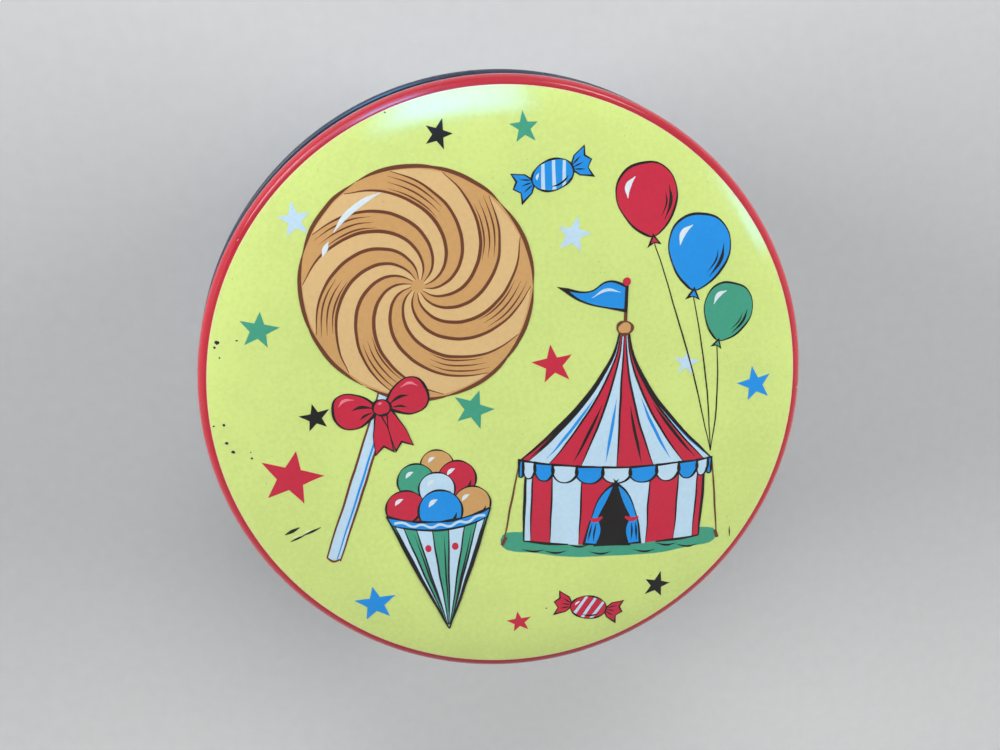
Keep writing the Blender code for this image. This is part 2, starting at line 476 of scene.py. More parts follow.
def arc(centre_radius, centre_z, radius, start, end, steps):
    """Points (radius, z) round a centre, from one angle to another, where 0 points away from the axis."""
    points = []
    for step in range(steps + 1):
        angle = start + (end - start) * step / steps
        points.append((centre_radius + radius * math.cos(angle), centre_z + radius * math.sin(angle)))
    return points


def lid_z(radius):
    """Height of the lid's printed face at a distance from the axis, out over the shoulder."""
    if radius <= PANEL_RADIUS:
        share = radius / PANEL_RADIUS
        return TIN_HEIGHT - PANEL_CROWN * share**2 - PANEL_EDGE_DROP * share**PANEL_EDGE_POWER
    return SHOULDER_Z + math.sqrt(max(SHOULDER_RADIUS**2 - (radius - SHOULDER_CENTRE_RADIUS) ** 2, 0))


def lid_section():
    """The lid's printed face, with points where its colours meet."""
    panel_end = PANEL_RADIUS - CREAM_LINE_WIDTH
    radii = [panel_end * math.sin(math.pi / 2 * step / PANEL_STEPS) for step in range(PANEL_STEPS + 1)]
    points = [(radius, lid_z(radius)) for radius in radii]
    shoulder_start = math.pi / 2 - PANEL_EDGE_SLOPE
    points += arc(SHOULDER_CENTRE_RADIUS, SHOULDER_Z, SHOULDER_RADIUS, shoulder_start, RED_ENDS_ANGLE, 16)
    points += arc(SHOULDER_CENTRE_RADIUS, SHOULDER_Z, SHOULDER_RADIUS, RED_ENDS_ANGLE, 0, 2)[1:]

    bend_r = SKIRT_RADIUS + HEM_BEND_RADIUS
    flare_start_r = bend_r - HEM_BEND_RADIUS * math.cos(HEM_FLARE)
    hem_centre_r = TIN_RADIUS - HEM_RADIUS
    flare_end_r = hem_centre_r + HEM_RADIUS * math.cos(HEM_FLARE)
    flare_end_z = HEM_Z + HEM_RADIUS * math.sin(HEM_FLARE)
    flare_start_z = flare_end_z + (flare_end_r - flare_start_r) / math.tan(HEM_FLARE)
    bend_z = flare_start_z + HEM_BEND_RADIUS * math.sin(HEM_FLARE)
    points += arc(bend_r, bend_z, HEM_BEND_RADIUS, math.pi, math.pi + HEM_FLARE, 5)
    points += arc(hem_centre_r, HEM_Z, HEM_RADIUS, HEM_FLARE, HEM_END, 24)
    return points


def wall_section():
    """The wall's outer face: the rim curled inwards, the straight wall, and the flange's hook."""
    points = arc(RIM_CENTRE_RADIUS, RIM_Z, RIM_RADIUS, RIM_START, 0, 16)
    points += arc(HOOK_CENTRE_RADIUS, WALL_BEND_Z, HOOK_BEND_RADIUS, math.pi, 2 * math.pi, 8)
    points.append((HOOK_CENTRE_RADIUS + HOOK_BEND_RADIUS, SEAM_BEND_Z))
    return points


def base_section():
    """The base's outer face, from the tip of the seam's hook round the foot to the recessed panel."""
    quarter = math.pi / 2
    points = [(SEAM_BEND_CENTRE_RADIUS - HOOK_BEND_RADIUS_OUTSIDE, WALL_BEND_Z)]
    points += arc(SEAM_BEND_CENTRE_RADIUS, SEAM_BEND_Z, HOOK_BEND_RADIUS_OUTSIDE, math.pi, 0, 8)
    foot_outer_r = SEAM_RADIUS - FOOT_CORNER_RADIUS
    foot_inner_r = RECESS_RADIUS + FOOT_CORNER_RADIUS
    points += arc(foot_outer_r, FOOT_CORNER_RADIUS, FOOT_CORNER_RADIUS, 0, -quarter, 6)
    points += arc(foot_inner_r, FOOT_CORNER_RADIUS, FOOT_CORNER_RADIUS, -quarter, -math.pi, 6)
    corner_r = RECESS_RADIUS - RECESS_CORNER_RADIUS
    corner_z = PANEL_RECESS - RECESS_CORNER_RADIUS
    points += arc(corner_r, corner_z, RECESS_CORNER_RADIUS, 0, quarter, 6)
    panel_z = PANEL_RECESS - STEP_HEIGHT
    points += bead(STEP_RADIUS - STEP_WIDTH / 2, STEP_WIDTH, PANEL_RECESS, panel_z)
    ring_z = panel_z + RING_HEIGHT
    points += bead(RING_RADIUS + 0.75 * RING_HALF_WIDTH, RING_HALF_WIDTH / 2, panel_z, ring_z)
    points += bead(RING_RADIUS - 0.75 * RING_HALF_WIDTH, RING_HALF_WIDTH / 2, ring_z, panel_z)
    points.append((0, panel_z))
    return points


def bead(middle_r, width, start_z, end_z):
    """A smooth step in the base's panel, drawn inwards from one height to another."""
    reach = width / 2 + BEAD_BEND_RADIUS
    points = []
    for step in range(BEAD_STEPS + 1):
        share = step / BEAD_STEPS
        rise = (1 - math.cos(math.pi * share)) / 2
        points.append((middle_r + reach - 2 * reach * share, start_z + (end_z - start_z) * rise))
    return points


def turn_section(name, section, finishes, pick):
    """A sheet turned about the tin's axis. Its section is the outer face, with the outside to its left."""
    form = bmesh.new()
    corners = [form.verts.new((radius, 0, z)) for radius, z in section]
    edges = [form.edges.new(pair) for pair in zip(corners, corners[1:])]
    axis = {"cent": (0, 0, 0), "axis": (0, 0, 1), "angle": math.tau, "steps": TURN_STEPS}
    bmesh.ops.spin(form, geom=corners + edges, use_merge=True, **axis)
    bmesh.ops.remove_doubles(form, verts=form.verts, dist=MERGE_DISTANCE)
    bmesh.ops.recalc_face_normals(form, faces=form.faces)
    (start_r, start_z), (end_r, end_z) = section[:2]
    start = Vector(((start_r + end_r) / 2, 0, (start_z + end_z) / 2))
    first = min(form.faces, key=lambda face: (face.calc_center_median() - start).length)
    if first.normal.dot(Vector((start_z - end_z, 0, end_r - start_r))) < 0:
        bmesh.ops.reverse_faces(form, faces=form.faces)
    for face in form.faces:
        middle = face.calc_center_median()
        face.material_index = pick(math.hypot(middle.x, middle.y), middle.z)
    piece = new_piece(name, form, finishes)
    wall = piece.modifiers.new("sheet", "SOLIDIFY")
    wall.thickness = SHEET
    wall.offset = -1
    wall.use_even_offset = True
    wall.material_offset = len(finishes) - 1
    wall.material_offset_rim = len(finishes) - 1
    return settle(piece)


def new_piece(name, form, finishes):
    """An object from a bmesh, with its finishes in their slots."""
    mesh = bpy.data.meshes.new(name)
    form.to_mesh(mesh)
    form.free()
    for finish in finishes:
        mesh.materials.append(finish.material)
    piece = bpy.data.objects.new(name, mesh)
    bpy.context.scene.collection.objects.link(piece)
    return piece


def settle(piece):
    """Applies a piece's modifiers and shades it smooth but for its creases."""
    ready = piece.evaluated_get(bpy.context.evaluated_depsgraph_get())
    rough = piece.data
    name = rough.name
    piece.data = bpy.data.meshes.new_from_object(ready)
    piece.modifiers.clear()
    bpy.data.meshes.remove(rough)
    piece.data.name = name
    piece.data.shade_smooth()
    piece.data.set_sharp_from_angle(angle=CREASE_ANGLE)
    return piece


def make_lid(inside):
    yellow, cream, red, navy, bare = range(5)

    def band(radius, z):
        if z < SHOULDER_Z + SHOULDER_RADIUS * math.sin(RED_ENDS_ANGLE):
            return navy
        if radius > PANEL_RADIUS:
            return red
        return cream if radius > PANEL_RADIUS - CREAM_LINE_WIDTH else yellow

    finishes = [panel_yellow(), cream_line(), edge_red(), skirt_navy(), inside]
    lid = turn_section("tin_lid", lid_section(), finishes, band)
    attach(lid, "lid")
    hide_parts("lid")


def make_wall(inside):
    finishes = [wall_navy(), inside]
    wall = turn_section("tin_wall", wall_section(), finishes, lambda radius, z: 0)
    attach(wall, "tin")
    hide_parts("body_wall")


def make_side_seam(inside):
    """The folded edges of the wall's side seam, a flat strip down the inside."""
    low = PANEL_RECESS + SHEET + SIDE_SEAM_END_GAP
    high = RIM_Z - RIM_RADIUS - SIDE_SEAM_END_GAP
    inner = WALL_RADIUS - SHEET
    form = bmesh.new()
    size = Matrix.Diagonal((SIDE_SEAM_DEPTH + SHEET, SIDE_SEAM_WIDTH, high - low, 1))
    place = Matrix.Translation((inner - SIDE_SEAM_DEPTH / 2, 0, (low + high) / 2))
    turn = Matrix.Rotation(SIDE_SEAM_ANGLE, 4, "Z")
    bmesh.ops.create_cube(form, size=1, matrix=turn @ place @ size)
    rounding = {"affect": "EDGES", "offset": SHEET / 2, "segments": 3, "profile": 0.5, "material": -1}
    bmesh.ops.bevel(form, geom=form.edges[:], **rounding)
    seam = settle(new_piece("side_seam", form, [inside]))
    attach(seam, "tin")


def make_base(inside):
    finishes = [tinplate("base_tinplate"), inside]
    base = turn_section("tin_base", base_section(), finishes, lambda radius, z: 0)
    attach(base, "tin")
    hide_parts("base_end")


class Picture:
    """The lid's picture, drawn flat in millimetres. Each shape has an ink, and a level that it lies at."""

    def __init__(self):
        self.shapes = {}
        line = bpy.data.curves.new("nib", "CURVE")
        edge = line.splines.new("POLY")
        edge.points.add(1)
        for point, side in zip(edge.points, (-0.5, 0.5)):
            point.co = (side, 0, 0, 1)
        self.nib = bpy.data.objects.new("nib", line)
        bpy.context.scene.collection.objects.link(self.nib)

    def draw(self, ink, level, points, smooth, closed, widths=None, corners=()):
        """A curve, which is filled unless it has widths. Its corners are points that stay sharp."""
        curve = bpy.data.curves.new("shape", "CURVE")
        curve.dimensions = "2D"
        curve.resolution_u = 6
        curve.fill_mode = "NONE" if widths else "BOTH"
        path = curve.splines.new("BEZIER")
        path.bezier_points.add(len(points) - 1)
        path.radius_interpolation = "CARDINAL"
        path.use_cyclic_u = closed
        for index, (point, (x, y)) in enumerate(zip(path.bezier_points, points)):
            point.co = (x, y, 0)
            soft = smooth and index not in corners
            point.handle_left_type = point.handle_right_type = "AUTO" if soft else "VECTOR"
            if widths:
                point.radius = widths[index]
        if widths:
            curve.bevel_mode = "OBJECT"
            curve.bevel_object = self.nib
        shape = bpy.data.objects.new("shape", curve)
        shape.location.z = INK_HEIGHT + LEVEL_STEP * level
        bpy.context.scene.collection.objects.link(shape)
        self.shapes.setdefault(ink, []).append(shape)

    def fill(self, ink, level, points, smooth, corners):
        """A flat shape inside a closed outline, with straight sides or a smooth one between its corners."""
        self.draw(ink, level, points, smooth, True, None, corners)

    def brush(self, ink, level, points, thick, ends):
        """A brush stroke through some points, thick in the middle and thin at the ends."""
        if len(points) == 2:
            points = [points[0], midway(*points), points[1]]
        last = len(points) - 1
        swell = [math.sin(math.pi * index / last) ** 0.7 for index in range(last + 1)]
        self.draw(ink, level, points, True, False, [thick * (ends + (1 - ends) * share) for share in swell])

    def line(self, ink, level, points, thick):
        """A stroke of one thickness."""
        self.draw(ink, level, points, True, False, [thick] * len(points))

    def contour(self, ink, level, points, thick, smooth, closed, corners):
        """An outline drawn by hand, whose thickness comes and goes."""
        widths = [thick * (0.82 + 0.38 * math.sin(1.3 + 2.1 * index)) for index in range(len(points))]
        self.draw(ink, level, points, smooth, closed, widths, corners)

    def lay(self, ink, finish, slip=(0, 0)):
        """Gathers an ink's shapes in one piece and lays it over the lid, a little out of place."""
        form = bmesh.new()
        graph = bpy.context.evaluated_depsgraph_get()
        for shape in self.shapes[ink]:
            flat = bpy.data.meshes.new_from_object(shape.evaluated_get(graph))
            flat.transform(shape.matrix_world)
            form.from_mesh(flat)
            bpy.data.meshes.remove(flat)
        bmesh.ops.remove_doubles(form, verts=form.verts, dist=FLAT_MERGE)
        bmesh.ops.dissolve_degenerate(form, edges=form.edges, dist=FLAT_MERGE)
        upside_down = [face for face in form.faces if face.normal.z < 0]
        bmesh.ops.reverse_faces(form, faces=upside_down)
        cut_into_grid(form)
        for vert in form.verts:
            sway = noise.noise_vector(Vector((vert.co.x, vert.co.y, 0)) / WOBBLE_LENGTH) * WOBBLE
            x = (vert.co.x + sway.x + slip[0]) * MM
            y = (vert.co.y + sway.y + slip[1]) * MM
            normal = lid_normal(x, y)
            vert.co = Vector((x, y, lid_z(math.hypot(x, y)))) + normal * (vert.co.z * MM)
        piece = new_piece("print_" + ink, form, [finish])
        piece.data.shade_smooth()
        normals = [lid_normal(vert.co.x, vert.co.y) for vert in piece.data.vertices]
        piece.data.normals_split_custom_set_from_vertices(normals)
        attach(piece, "lid")

    def clear(self):
        """Removes the flat shapes once they are laid."""
        for shapes in self.shapes.values():
            for shape in shapes:
                bpy.data.curves.remove(shape.data)
        bpy.data.curves.remove(self.nib.data)


def cut_into_grid(form):
    """Cuts the shapes by lines both ways, so that they bend with the dome."""
    reach = SKIRT_RADIUS / MM
    for axis in (Vector((1, 0, 0)), Vector((0, 1, 0))):
        sides = [vert.co.dot(axis) for vert in form.verts]
        step = math.ceil(max(min(sides), -reach) / DRAPE_GRID)
        while step * DRAPE_GRID < max(sides):
            geometry = form.verts[:] + form.edges[:] + form.faces[:]
            cut = {"dist": CUT_MERGE, "plane_co": axis * step * DRAPE_GRID, "plane_no": axis}
            bmesh.ops.bisect_plane(form, geom=geometry, **cut)
            step += 1


def lid_normal(x, y):
    """The direction that the lid's printed face points in, at a place on it in metres."""
    radius = math.hypot(x, y)
    if radius == 0:
        return Vector((0, 0, 1))
    slope = (lid_z(radius - SLOPE_STEP) - lid_z(radius + SLOPE_STEP)) / (2 * SLOPE_STEP)
    return Vector((slope * x / radius, slope * y / radius, 1)).normalized()


def midway(first, second):
    return ((first[0] + second[0]) / 2, (first[1] + second[1]) / 2)


class Motif:
    """A place in the picture, where a motif is drawn in shares of its own size and turned as a whole."""

    def __init__(self, picture, x, y, size, turn=0):
        self.picture = picture
        self.middle = (x, y)
        self.size = size
        self.turn = turn

    def at(self, points):
        """Points of the motif, at their place on the lid."""
        (x, y), turn = self.middle, math.radians(self.turn)
        c, s = math.cos(turn), math.sin(turn)
        return [(x + self.size * (c * u - s * v), y + self.size * (s * u + c * v)) for u, v in points]

    def within(self, u, v, share=1, turn=0):
        """A motif of a share of this one's size, round a point of it."""
        (place,) = self.at([(u, v)])
        return Motif(self.picture, *place, share * self.size, turn)

    def fill(self, ink, level, points, smooth=False, corners=()):
        self.picture.fill(ink, level, self.at(points), smooth, corners)

    def brush(self, ink, level, points, thick, ends=0.12):
        self.picture.brush(ink, level, self.at(points), thick * self.size, ends)

    def line(self, ink, level, points, thick):
        self.picture.line(ink, level, self.at(points), thick * self.size)

    def contour(self, ink, level, points, thick, smooth=True, closed=True, corners=()):
        self.picture.contour(ink, level, self.at(points), thick * self.size, smooth, closed, corners)

    def shape(self, ink, level, points, thick, smooth=True, corners=(), edge="black"):
        """A filled shape with its outline one level higher."""
        self.fill(ink, level, points, smooth, corners)
        self.contour(edge, level + 1, points, thick, smooth, True, corners)


def ring(wide=1.0, high=1.0, start=0, end=360, steps=12):
    """Points round an ellipse, from one angle to another in degrees, the last left out of a full turn."""
    count = steps if end - start >= 360 else steps + 1
    angles = [math.radians(start + (end - start) * step / steps) for step in range(count)]
    return [(wide * math.cos(angle), high * math.sin(angle)) for angle in angles]


def spiral(start, twist, radii):
    """Points at some radii, each farther round than the one before. The angles are in radians."""
    return [(r * math.cos(start + twist * r), r * math.sin(start + twist * r)) for r in radii]


def mirrored(points, side):
    """Points as they are for a side of 1, and the other way round for -1."""
    return [(side * u, v) for u, v in points]


def bands(count):
    """The left and right edges, from -1 to 1, of stripes round something round seen from the side."""
    edges = [math.sin(math.pi / 2 * (2 * step / count - 1)) for step in range(count + 1)]
    return list(zip(edges, edges[1:]))


def star(motif, ink):
    """A slender five-pointed star, its points cut a little unevenly."""
    points = []
    for tip in range(10):
        reach = 1 if tip % 2 == 0 else 0.41
        reach *= 1 + 0.07 * math.sin(5.1 * tip + motif.middle[0])
        angle = math.radians(90 + 36 * tip)
        points.append((reach * math.cos(angle), reach * math.sin(angle)))
    motif.fill(ink, 0, points)


def lollipop(motif):
    """A big swirled lollipop on a stick, with a bow round its neck."""
    neck, foot = (-0.28, -0.95), (-0.78, -2.55)
    stick = (neck, midway(neck, foot), foot)
    side = 0.062
    motif.line("pale", 0, stick, 0.115)
    for offset in (-side, side):
        motif.brush("brown", 2, [(u + offset, v - 0.3 * offset) for u, v in stick], 0.022, 0.6)
    motif.brush("blue", 1, [(u + 0.5 * side, v) for u, v in stick], 0.02, 0.5)
    end = [(foot[0] - side, foot[1] + 0.02), (foot[0], foot[1] - 0.02), (foot[0] + side, foot[1])]
    motif.brush("brown", 2, end, 0.022, 0.7)

    arms = 7
    twist = 2.3
    wide = math.pi / arms
    hub, rim = 0.06, 0.98
    motif.fill("tan", 3, ring(steps=20), smooth=True)
    for arm in range(arms):
        start = math.tau * arm / arms
        reach = [hub + 0.92 * step / 10 for step in range(11)]
        edges = [spiral(start + lead, twist, reach) for lead in (0, wide)]
        outside = [spiral(start + wide * quarter / 4, twist, [rim])[0] for quarter in (1, 2, 3)]
        motif.fill("light_tan", 4, edges[0] + outside + edges[1][::-1])
        for edge in edges:
            motif.brush("brown", 5, edge, 0.03, 0.2)
        for hair in range(3):
            reach = [0.70 - 0.05 * hair + 0.25 * step / 3 for step in range(4)]
            strand = spiral(start + wide * (1.25 + 0.28 * hair), twist, reach)
            motif.brush("brown", 5, strand, 0.014)
    for step in range(9):
        start = 40 * step + 5 * math.sin(2.2 * step)
        motif.brush("brown", 6, ring(1.005, 1.005, start, start + 46, 5), 0.036)
    motif.brush("gleam", 7, ring(0.84, 0.84, 112, 148, 4), 0.05)
    motif.brush("gleam", 7, ring(0.84, 0.84, 154, 164, 2), 0.045)
    bow(motif.within(neck[0] - 0.04, neck[1] - 0.13, 0.42, 16))


def bow(motif):
    """A ribbon bow: two loops, two tails and a knot."""
    loop = [(0.06, 0), (0.38, 0.36), (0.82, 0.46), (1.0, 0.2), (0.96, -0.16), (0.66, -0.3), (0.3, -0.18)]
    tail = [(0.02, -0.05), (0.3, -0.42), (0.42, -0.98), (0.2, -0.84), (0.02, -1.02), (0.0, -0.5)]
    upper_fold = [(0.16, 0.02), (0.42, 0.12), (0.62, 0.1)]
    lower_fold = [(0.18, -0.05), (0.4, -0.08), (0.52, -0.14)]
    gleam = [(0.5, 0.3), (0.72, 0.34), (0.86, 0.24)]
    for side in (1, -1):
        motif.shape("red", 8, mirrored(tail, side), 0.035, corners=(2, 3, 4))
        motif.shape("red", 8, mirrored(loop, side), 0.05, corners=(0,))
        motif.brush("black", 9, mirrored(upper_fold, side), 0.07)
        motif.brush("black", 9, mirrored(lower_fold, side), 0.05)
        motif.brush("pink", 9, mirrored(gleam, side), 0.06)
    motif.shape("red", 10, ring(0.19, 0.17, steps=8), 0.05)
    motif.brush("pink", 11, [(-0.06, 0.08), (0.04, 0.09)], 0.05)


def tent(motif):
    """A striped show tent: a fan of roof stripes, a scalloped edge, a striped wall and an open door."""
    apex, eave, sag = 2.2, 0.86, 0.09
    steps = [step / 8 for step in range(9)]

    def roof(side, t):
        return (side * (0.04 + 0.96 * t**1.45), apex - (apex - eave) * t**0.86 - sag * (1 - side**2) * t)

    def wall(side, t):
        return (0.93 * side, (eave - sag * (1 - side**2)) * (1 - t) - 0.07 * (1 - side**2) * t)

    ground = [(-1.16, 0.02), (-0.8, 0.1), (0, 0.06), (0.85, 0.1)]
    ground += [(1.14, 0.0), (0.8, -0.13), (0.1, -0.19), (-0.75, -0.14)]
    motif.fill("green", 0, ground, True)
    for blade in range(8):
        u = -0.95 + 0.235 * blade
        v = -0.12 - 0.05 * math.sin(2.7 * blade)
        motif.brush("black", 1, [(u, v + 0.03), (u + 0.13, v), (u + 0.24, v + 0.02)], 0.022)

    for panel, (left, right) in enumerate(bands(8)):
        roof_ink, wall_ink = ("pale", "red") if panel % 2 else ("red", "pale")
        motif.fill(roof_ink, 3, [roof(left, t) for t in steps] + [roof(right, t) for t in steps[::-1]])
        sides = [wall(left, 0), wall(left, 1), wall((left + right) / 2, 1), wall(right, 1), wall(right, 0)]
        motif.fill(wall_ink, 2, sides)
        if panel:
            motif.brush("black", 5, [roof(left, t) for t in steps], 0.022, 0.3)
            motif.brush("black", 4, [wall(left, t / 3) for t in range(4)], 0.018, 0.3)
        if panel % 2:
            middle = 0.35 * left + 0.65 * right
            motif.brush("blue", 4, [roof(middle, 0.45 + 0.5 * t) for t in steps[::2]], 0.03, 0.1)
        else:
            middle = 0.3 * left + 0.7 * right
            motif.brush("black", 4, [roof(middle, 0.5 + 0.46 * t) for t in steps[::2]], 0.03, 0.1)

    drop = 0.16
    for tab, (left, right) in enumerate(bands(11)):
        (u0, v0), (u1, v1) = roof(left, 1), roof(right, 1)
        tip = ((u0 + u1) / 2, min(v0, v1) - drop)
        outline = [(u0, v0 + 0.01), (u0, v0 - 0.55 * drop), tip, (u1, v1 - 0.55 * drop), (u1, v1 + 0.01)]
        motif.shape(("blue", "pale")[tab % 2], 6, outline, 0.024, corners=(0, 4))

    door = [(-0.2, -0.08), (-0.2, 0.2), (-0.12, 0.46), (0, 0.62), (0.12, 0.46), (0.2, 0.2), (0.2, -0.08)]
    drape = [(0, 0.62), (0.13, 0.5), (0.24, 0.24), (0.3, -0.05)]
    drape += [(0.17, -0.06), (0.13, 0.1), (0.16, 0.24), (0.07, 0.44)]
    tie = [(0.12, 0.24), (0.19, 0.21), (0.26, 0.23)]
    motif.fill("black", 5, door, True, (0, 3, 6))
    for side in (1, -1):
        motif.shape("blue", 6, mirrored(drape, side), 0.022, corners=(0, 3, 4, 6))
        for shift in (0.0, 0.045):
            fold = [(0.185 + shift, 0.18), (0.2 + shift, 0.08), (0.2 + 1.3 * shift, -0.02)]
            motif.brush("black", 7, mirrored(fold, side), 0.02)
        motif.brush("red", 8, mirrored(tie, side), 0.05, 0.5)

    for side in (-1, 1):
        motif.brush("black", 6, [roof(side, t) for t in steps], 0.036, 0.4)
        motif.brush("black", 5, [wall(side, t / 3) for t in range(4)], 0.03, 0.5)
        motif.brush("brown", 4, [roof(side, 1), (side * 1.07, 0.4), (side * 1.13, 0.02)], 0.02, 0.6)
        motif.line("brown", 5, mirrored([(1.11, 0.05), (1.15, -0.04)], side), 0.035)
    foot = [wall(side / 4, 1) for side in range(-4, 5)]
    motif.brush("black", 5, [(u, v) for u, v in foot if u < -0.25], 0.03, 0.5)
    motif.brush("black", 5, [(u, v) for u, v in foot if u > 0.25], 0.03, 0.5)

    top = motif.within(0, apex)
    flag = [(0.0, 0.41), (-0.18, 0.45), (-0.36, 0.35), (-0.62, 0.37), (-0.42, 0.25), (-0.2, 0.2), (0, 0.17)]
    top.line("brown", 5, [(0, -0.02), (0, 0.42)], 0.034)
    top.shape("blue", 6, flag, 0.026, corners=(0, 3, 6))
    top.brush("pale", 7, [(-0.06, 0.35), (-0.2, 0.37), (-0.34, 0.29)], 0.03)
    top.shape("tan", 7, ring(0.075, 0.065, steps=8), 0.028, edge="brown")
    top.within(0, 0.45).fill("red", 8, ring(0.04, 0.04, steps=6), True)


def ball(motif, ink, level):
    """A round sweet with a gleam on it."""
    motif.shape(ink, level, ring(), 0.09)
    motif.brush("black", level + 1, ring(0.74, 0.74, -70, -5, 4), 0.13)
    motif.brush("gleam", level + 1, ring(0.58, 0.58, 105, 160, 3), 0.2)


def paper_cone(motif):
    """A striped paper cone full of round sweets."""
    sweets = (
        ("tan", 1, 0.04, 0.94, 0.31),
        ("green", 3, -0.38, 0.66, 0.35),
        ("red", 3, 0.4, 0.64, 0.36),
        ("pale", 5, 0.0, 0.46, 0.34),
        ("red", 7, -0.62, 0.12, 0.37),
        ("tan", 7, 0.64, 0.1, 0.36),
        ("blue", 9, 0.03, 0.02, 0.42),
    )
    motif.fill("black", 0, ring(0.99, 0.2, steps=14), True)
    for ink, level, u, v, share in sweets:
        ball(motif.within(u, v, share), ink, level)

    length = 2.55

    def side(across, down):
        narrow = 1 - down
        return (across * narrow, -length * down - 0.2 * narrow * (1 - across**2))

    rows = [0.0, 0.3, 0.6, 1.0]
    for stripe, (left, right) in enumerate(bands(9)):
        outline = [side(left, down) for down in rows] + [side(right, down) for down in rows[::-1]]
        motif.fill(("green", "pale")[stripe % 2], 11, outline)
        if stripe:
            motif.brush("black", 12, [side(left, 0.96 * down) for down in rows], 0.035, 0.4)
        if stripe % 2 == 0:
            seam = [side(0.3 * left + 0.7 * right, 0.12 + 0.24 * step) for step in range(4)]
            motif.brush("black", 12, seam, 0.03, 0.1)
        elif abs(left + right) < 1.4:
            spot = motif.within(*side((left + right) / 2, 0.24), turn=motif.turn)
            spot.fill("red", 12, ring(0.062, 0.075, steps=8), True)
    collar = [side(-1 + step / 5, 0) for step in range(11)]
    under = [side(-1 + step / 5, 0.075) for step in range(11)]
    wave = [side(-0.92 + 0.184 * step, 0.035 + 0.012 * (-1) ** step) for step in range(11)]
    motif.fill("blue", 13, collar + under[::-1])
    motif.line("pale", 14, wave, 0.05)
    motif.contour("black", 15, collar, 0.05, True, False)
    motif.brush("black", 15, under, 0.045, 0.4)
    for across in (-1, 1):
        motif.brush("black", 15, [side(across, down) for down in rows], 0.07, 0.4)


def balloon(motif, ink, tie):
    """A balloon with its knot, and its string to a tie."""
    half = [(0.62, 0.82), (0.92, 0.22), (0.72, -0.5), (0.24, -1.02)]
    body = [(0, 1.0), *half, (0, -1.12), *mirrored(half[::-1], -1)]
    knot = [(0, -1.08), (0.17, -1.36), (0, -1.3), (-0.17, -1.36)]
    (start,) = motif.at([(0, -1.3)])
    bend = midway(start, tie)
    motif.picture.brush("black", 1, [start, (bend[0] + 0.8, bend[1] - 0.4), tie], 0.36, 0.6)
    motif.fill(ink, 2, knot)
    motif.fill(ink, 2, body, True)
    motif.contour("black", 3, body, 0.06)
    motif.contour("black", 3, knot, 0.05, False)
    motif.brush("black", 3, [(0.4, -0.72), (0.68, -0.2), (0.72, 0.26)], 0.1)
    motif.brush("black", 3, [(0.32, -0.6), (0.54, -0.22), (0.57, 0.08)], 0.05)
    motif.brush("gleam", 3, [(-0.6, 0.1), (-0.54, 0.44), (-0.28, 0.68)], 0.17)


def wrapped_sweet(motif, ink):
    """A sweet in twisted paper, with stripes across its middle."""
    fan = [(0.56, 0.0), (0.78, 0.3), (1.16, 0.46), (1.08, 0.2)]
    fan += [(1.24, 0.02), (1.06, -0.16), (1.12, -0.44), (0.76, -0.28)]
    for side in (1, -1):
        motif.shape(ink, 1, mirrored(fan, side), 0.05, False)
        for v in (-0.16, 0.02, 0.2):
            motif.brush("black", 2, mirrored([(0.62, 0.3 * v), (0.98, 1.15 * v)], side), 0.045)
    body = ring(0.64, 0.44, steps=14)
    motif.fill(ink, 3, body, True)
    for band in (-0.34, -0.02, 0.3):
        top, foot = band + 0.16, band - 0.1
        high = 0.42 * math.sqrt(1 - (top / 0.66) ** 2)
        low = -0.42 * math.sqrt(1 - (foot / 0.66) ** 2)
        stripe = [(top - 0.05, high), (top + 0.05, high), (foot + 0.06, low), (foot - 0.06, low)]
        motif.fill("pale", 4, stripe)
    motif.contour("black", 5, body, 0.055)
    motif.brush("black", 5, ring(0.5, 0.32, -110, -30, 4), 0.06)
    motif.brush("gleam", 5, ring(0.5, 0.3, 138, 176, 3), 0.07)


# Ink, place, size and turn
STARS = (
    ("red", -51.5, -19.5, 7.4, -12),
    ("blue", -32.5, -52.5, 5.2, 9),
    ("black", -45.5, -4.5, 3.6, 14),
    ("green", -57.5, 15.5, 4.6, -8),
    ("pale", -49.0, 40.0, 4.0, 10),
    ("black", -17.5, 59.0, 3.4, -15),
    ("green", 1.5, 61.0, 3.6, 8),
    ("pale", 13.0, 38.0, 4.2, -10),
    ("red", 9.5, 8.0, 5.0, 12),
    ("green", -9.0, -2.5, 5.0, -16),
    ("blue", 59.5, 3.0, 4.6, 15),
    ("pale", 41.5, 8.5, 3.2, -5),
    ("black", 38.5, -49.5, 3.8, -12),
    ("red", 3.5, -58.5, 3.2, 10),
)

# Place and size
CHIPS = (
    (-67.1, 12.4, 0.62),
    (-67.7, 11.2, 0.36),
    (-62.5, 13.0, 0.34),
    (-66.6, 9.0, 0.24),
    (-66.5, -6.7, 0.40),
    (-68.9, -7.1, 0.30),
    (-66.1, -11.1, 0.46),
    (-64.6, -13.2, 0.50),
    (-60.4, -14.6, 0.34),
    (-60.6, -13.1, 0.22),
    (10.0, -54.7, 0.22),
    (-29.1, 63.3, 0.24),
    (-61.7, 35.5, 0.22),
    (71.7, 1.9, 0.34),
)

# Ink, start, end and thickness
SCRATCHES = (
    ("chip", (-53.6, -33.8), (-50.1, -31.9), 0.85),
    ("chip", (-52.4, -35.7), (-49.0, -33.9), 0.5),
    ("chip", (-49.4, -34.0), (-45.1, -31.7), 0.55),
    # Painted glints of bare metal beside the long scratch
    ("chip_edge_and_glint", (-51.8, -34.7), (-50.0, -33.9), 0.45),
    ("chip_edge_and_glint", (-49.2, -33.3), (-47.4, -32.5), 0.45),
    ("chip", (56.7, -34.2), (57.1, -37.1), 0.34),
)


